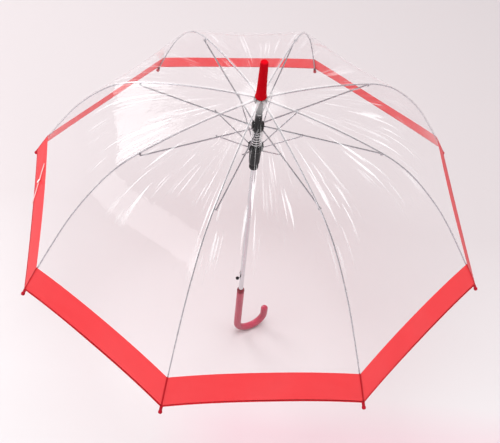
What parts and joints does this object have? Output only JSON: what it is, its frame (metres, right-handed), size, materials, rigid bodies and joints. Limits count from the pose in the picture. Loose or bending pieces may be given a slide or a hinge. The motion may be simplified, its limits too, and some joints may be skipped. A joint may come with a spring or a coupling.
{
  "type": "stick umbrella",
  "caption": "Clear dome umbrella that opens by itself, with a coloured rim band, a straight steel shaft, a ferrule and a crook handle.",
  "frame": {"origin": "on the shaft axis at the middle of the straight grip", "axes": "+Z along the shaft towards the ferrule, +X from the grip towards the crook's free end"},
  "size_m": [0.9314, 0.9314, 0.828],
  "materials": {
    "film": "clear glossy film with a red band",
    "red": "glossy",
    "crimson": "glossy",
    "black": "satin",
    "steel": "plated",
    "zinc": "plated"
  },
  "bodies": {
    "shaft": {"shaft_tube": "steel", "ferrule": "red", "crown_notch": "black", "handle": "red", "handle_collar": "red"},
    "catch": {"catch_lever": "zinc", "release_button": "black"},
    "runner": {"lower_runner": "black", "opening_spring": "zinc"},
    "hub": {"upper_hub": "black"},
    "rib_1": {"rib_inner_1": "steel", "gore_1": "film"},
    "flex_1": {"rib_outer_1": "steel", "rib_tip_1": "crimson"},
    "stretcher_1": {"stretcher_1": "steel"},
    "strut_1": {"strut_1": "steel"},
    "rib_2": {"rib_inner_2": "steel", "gore_2": "film"},
    "flex_2": {"rib_outer_2": "steel", "rib_tip_2": "crimson"},
    "stretcher_2": {"stretcher_2": "steel"},
    "strut_2": {"strut_2": "steel"},
    "rib_3": {"rib_inner_3": "steel", "gore_3": "film"},
    "flex_3": {"rib_outer_3": "steel", "rib_tip_3": "crimson"},
    "stretcher_3": {"stretcher_3": "steel"},
    "strut_3": {"strut_3": "steel"},
    "rib_4": {"rib_inner_4": "steel", "gore_4": "film"},
    "flex_4": {"rib_outer_4": "steel", "rib_tip_4": "crimson", "tie_strap": "film"},
    "stretcher_4": {"stretcher_4": "steel"},
    "strut_4": {"strut_4": "steel"},
    "rib_5": {"rib_inner_5": "steel", "gore_5": "film"},
    "flex_5": {"rib_outer_5": "steel", "rib_tip_5": "crimson"},
    "stretcher_5": {"stretcher_5": "steel"},
    "strut_5": {"strut_5": "steel"},
    "rib_6": {"rib_inner_6": "steel", "gore_6": "film"},
    "flex_6": {"rib_outer_6": "steel", "rib_tip_6": "crimson"},
    "stretcher_6": {"stretcher_6": "steel"},
    "strut_6": {"strut_6": "steel"},
    "rib_7": {"rib_inner_7": "steel", "gore_7": "film"},
    "flex_7": {"rib_outer_7": "steel", "rib_tip_7": "crimson"},
    "stretcher_7": {"stretcher_7": "steel"},
    "strut_7": {"strut_7": "steel"},
    "rib_8": {"rib_inner_8": "steel", "gore_8": "film"},
    "flex_8": {"rib_outer_8": "steel", "rib_tip_8": "crimson"},
    "stretcher_8": {"stretcher_8": "steel"},
    "strut_8": {"strut_8": "steel"}
  },
  "joints": [
    {"name": "runner_slide", "type": "slide", "parent": "shaft", "child": "runner", "axis": [0, 0, -1], "range_m": [0, 0.33628], "stiffness_N_per_m": 30, "springref_m": -0.35},
    {"name": "hub_slide", "type": "slide", "parent": "shaft", "child": "hub", "axis": [0, 0, -1], "range_m": [0, 0.37068], "deforming": ["opening_spring"]},
    {"name": "rib_hinge_1", "type": "hinge", "parent": "shaft", "child": "rib_1", "pos_m": [0.009, 0, 0.645], "axis": [0, 1, 0], "range_deg": [0, 70.38], "deforming": ["gore_1"]},
    {"name": "flex_hinge_1", "type": "hinge", "parent": "rib_1", "child": "flex_1", "pos_m": [0.28176, 0, 0.57191], "axis": [0, 1, 0], "range_deg": [-33.87, 0]},
    {"name": "stretcher_hinge_1", "type": "hinge", "parent": "hub", "child": "stretcher_1", "pos_m": [0.009, 0, 0.5785], "axis": [0, 1, 0], "range_deg": [-78.24, 0]},
    {"name": "strut_hinge_1", "type": "hinge", "parent": "runner", "child": "strut_1", "pos_m": [0.0126, 0, 0.527], "axis": [0, 1, 0], "range_deg": [-46.84, 0]},
    {"name": "rib_hinge_2", "type": "hinge", "parent": "shaft", "child": "rib_2", "pos_m": [0.00636, 0.00636, 0.645], "axis": [-0.7071, 0.7071, 0], "range_deg": [0, 70.38], "deforming": ["gore_2"]},
    {"name": "flex_hinge_2", "type": "hinge", "parent": "rib_2", "child": "flex_2", "pos_m": [0.19923, 0.19923, 0.57191], "axis": [-0.7071, 0.7071, 0], "range_deg": [-33.87, 0]},
    {"name": "stretcher_hinge_2", "type": "hinge", "parent": "hub", "child": "stretcher_2", "pos_m": [0.00636, 0.00636, 0.5785], "axis": [-0.7071, 0.7071, 0], "range_deg": [-78.24, 0]},
    {"name": "strut_hinge_2", "type": "hinge", "parent": "runner", "child": "strut_2", "pos_m": [0.00891, 0.00891, 0.527], "axis": [-0.7071, 0.7071, 0], "range_deg": [-46.84, 0]},
    {"name": "rib_hinge_3", "type": "hinge", "parent": "shaft", "child": "rib_3", "pos_m": [0, 0.009, 0.645], "axis": [-1, 0, 0], "range_deg": [0, 70.38], "deforming": ["gore_3"]},
    {"name": "flex_hinge_3", "type": "hinge", "parent": "rib_3", "child": "flex_3", "pos_m": [0, 0.28176, 0.57191], "axis": [-1, 0, 0], "range_deg": [-33.87, 0]},
    {"name": "stretcher_hinge_3", "type": "hinge", "parent": "hub", "child": "stretcher_3", "pos_m": [0, 0.009, 0.5785], "axis": [-1, 0, 0], "range_deg": [-78.24, 0]},
    {"name": "strut_hinge_3", "type": "hinge", "parent": "runner", "child": "strut_3", "pos_m": [0, 0.0126, 0.527], "axis": [-1, 0, 0], "range_deg": [-46.84, 0]},
    {"name": "rib_hinge_4", "type": "hinge", "parent": "shaft", "child": "rib_4", "pos_m": [-0.00636, 0.00636, 0.645], "axis": [-0.7071, -0.7071, 0], "range_deg": [0, 70.38], "deforming": ["gore_4"]},
    {"name": "flex_hinge_4", "type": "hinge", "parent": "rib_4", "child": "flex_4", "pos_m": [-0.19923, 0.19923, 0.57191], "axis": [-0.7071, -0.7071, 0], "range_deg": [-33.87, 0], "deforming": ["tie_strap"]},
    {"name": "stretcher_hinge_4", "type": "hinge", "parent": "hub", "child": "stretcher_4", "pos_m": [-0.00636, 0.00636, 0.5785], "axis": [-0.7071, -0.7071, 0], "range_deg": [-78.24, 0]},
    {"name": "strut_hinge_4", "type": "hinge", "parent": "runner", "child": "strut_4", "pos_m": [-0.00891, 0.00891, 0.527], "axis": [-0.7071, -0.7071, 0], "range_deg": [-46.84, 0]},
    {"name": "rib_hinge_5", "type": "hinge", "parent": "shaft", "child": "rib_5", "pos_m": [-0.009, 0, 0.645], "axis": [0, -1, 0], "range_deg": [0, 70.38], "deforming": ["gore_5"]},
    {"name": "flex_hinge_5", "type": "hinge", "parent": "rib_5", "child": "flex_5", "pos_m": [-0.28176, 0, 0.57191], "axis": [0, -1, 0], "range_deg": [-33.87, 0]},
    {"name": "stretcher_hinge_5", "type": "hinge", "parent": "hub", "child": "stretcher_5", "pos_m": [-0.009, 0, 0.5785], "axis": [0, -1, 0], "range_deg": [-78.24, 0]},
    {"name": "strut_hinge_5", "type": "hinge", "parent": "runner", "child": "strut_5", "pos_m": [-0.0126, 0, 0.527], "axis": [0, -1, 0], "range_deg": [-46.84, 0]},
    {"name": "rib_hinge_6", "type": "hinge", "parent": "shaft", "child": "rib_6", "pos_m": [-0.00636, -0.00636, 0.645], "axis": [0.7071, -0.7071, 0], "range_deg": [0, 70.38], "deforming": ["gore_6"]},
    {"name": "flex_hinge_6", "type": "hinge", "parent": "rib_6", "child": "flex_6", "pos_m": [-0.19923, -0.19923, 0.57191], "axis": [0.7071, -0.7071, 0], "range_deg": [-33.87, 0]},
    {"name": "stretcher_hinge_6", "type": "hinge", "parent": "hub", "child": "stretcher_6", "pos_m": [-0.00636, -0.00636, 0.5785], "axis": [0.7071, -0.7071, 0], "range_deg": [-78.24, 0]},
    {"name": "strut_hinge_6", "type": "hinge", "parent": "runner", "child": "strut_6", "pos_m": [-0.00891, -0.00891, 0.527], "axis": [0.7071, -0.7071, 0], "range_deg": [-46.84, 0]},
    {"name": "rib_hinge_7", "type": "hinge", "parent": "shaft", "child": "rib_7", "pos_m": [0, -0.009, 0.645], "axis": [1, 0, 0], "range_deg": [0, 70.38], "deforming": ["gore_7"]},
    {"name": "flex_hinge_7", "type": "hinge", "parent": "rib_7", "child": "flex_7", "pos_m": [0, -0.28176, 0.57191], "axis": [1, 0, 0], "range_deg": [-33.87, 0]},
    {"name": "stretcher_hinge_7", "type": "hinge", "parent": "hub", "child": "stretcher_7", "pos_m": [0, -0.009, 0.5785], "axis": [1, 0, 0], "range_deg": [-78.24, 0]},
    {"name": "strut_hinge_7", "type": "hinge", "parent": "runner", "child": "strut_7", "pos_m": [0, -0.0126, 0.527], "axis": [1, 0, 0], "range_deg": [-46.84, 0]},
    {"name": "rib_hinge_8", "type": "hinge", "parent": "shaft", "child": "rib_8", "pos_m": [0.00636, -0.00636, 0.645], "axis": [0.7071, 0.7071, 0], "range_deg": [0, 70.38], "deforming": ["gore_8"]},
    {"name": "flex_hinge_8", "type": "hinge", "parent": "rib_8", "child": "flex_8", "pos_m": [0.19923, -0.19923, 0.57191], "axis": [0.7071, 0.7071, 0], "range_deg": [-33.87, 0]},
    {"name": "stretcher_hinge_8", "type": "hinge", "parent": "hub", "child": "stretcher_8", "pos_m": [0.00636, -0.00636, 0.5785], "axis": [0.7071, 0.7071, 0], "range_deg": [-78.24, 0]},
    {"name": "strut_hinge_8", "type": "hinge", "parent": "runner", "child": "strut_8", "pos_m": [0.00891, -0.00891, 0.527], "axis": [0.7071, 0.7071, 0], "range_deg": [-46.84, 0]},
    {"name": "catch_press", "type": "hinge", "parent": "shaft", "child": "catch", "pos_m": [-0.0026, 0, 0.087], "axis": [0, 1, 0], "range_deg": [0, 3], "stiffness_Nm_per_rad": 2.5, "springref_deg": -2.86}
  ],
  "couplings": [
    {"joint": "hub_slide", "follows": "runner_slide", "ratio": 1.1017},
    {"joint": "rib_hinge_1", "follows": "runner_slide", "rad_per_m": 3.65},
    {"joint": "flex_hinge_1", "follows": "runner_slide", "rad_per_m": -1.7552},
    {"joint": "stretcher_hinge_1", "follows": "runner_slide", "rad_per_m": -4.0583},
    {"joint": "strut_hinge_1", "follows": "runner_slide", "rad_per_m": -2.4282},
    {"joint": "rib_hinge_2", "follows": "runner_slide", "rad_per_m": 3.65},
    {"joint": "flex_hinge_2", "follows": "runner_slide", "rad_per_m": -1.7552},
    {"joint": "stretcher_hinge_2", "follows": "runner_slide", "rad_per_m": -4.0583},
    {"joint": "strut_hinge_2", "follows": "runner_slide", "rad_per_m": -2.4282},
    {"joint": "rib_hinge_3", "follows": "runner_slide", "rad_per_m": 3.65},
    {"joint": "flex_hinge_3", "follows": "runner_slide", "rad_per_m": -1.7552},
    {"joint": "stretcher_hinge_3", "follows": "runner_slide", "rad_per_m": -4.0583},
    {"joint": "strut_hinge_3", "follows": "runner_slide", "rad_per_m": -2.4282},
    {"joint": "rib_hinge_4", "follows": "runner_slide", "rad_per_m": 3.65},
    {"joint": "flex_hinge_4", "follows": "runner_slide", "rad_per_m": -1.7552},
    {"joint": "stretcher_hinge_4", "follows": "runner_slide", "rad_per_m": -4.0583},
    {"joint": "strut_hinge_4", "follows": "runner_slide", "rad_per_m": -2.4282},
    {"joint": "rib_hinge_5", "follows": "runner_slide", "rad_per_m": 3.65},
    {"joint": "flex_hinge_5", "follows": "runner_slide", "rad_per_m": -1.7552},
    {"joint": "stretcher_hinge_5", "follows": "runner_slide", "rad_per_m": -4.0583},
    {"joint": "strut_hinge_5", "follows": "runner_slide", "rad_per_m": -2.4282},
    {"joint": "rib_hinge_6", "follows": "runner_slide", "rad_per_m": 3.65},
    {"joint": "flex_hinge_6", "follows": "runner_slide", "rad_per_m": -1.7552},
    {"joint": "stretcher_hinge_6", "follows": "runner_slide", "rad_per_m": -4.0583},
    {"joint": "strut_hinge_6", "follows": "runner_slide", "rad_per_m": -2.4282},
    {"joint": "rib_hinge_7", "follows": "runner_slide", "rad_per_m": 3.65},
    {"joint": "flex_hinge_7", "follows": "runner_slide", "rad_per_m": -1.7552},
    {"joint": "stretcher_hinge_7", "follows": "runner_slide", "rad_per_m": -4.0583},
    {"joint": "strut_hinge_7", "follows": "runner_slide", "rad_per_m": -2.4282},
    {"joint": "rib_hinge_8", "follows": "runner_slide", "rad_per_m": 3.65},
    {"joint": "flex_hinge_8", "follows": "runner_slide", "rad_per_m": -1.7552},
    {"joint": "stretcher_hinge_8", "follows": "runner_slide", "rad_per_m": -4.0583},
    {"joint": "strut_hinge_8", "follows": "runner_slide", "rad_per_m": -2.4282}
  ]
}
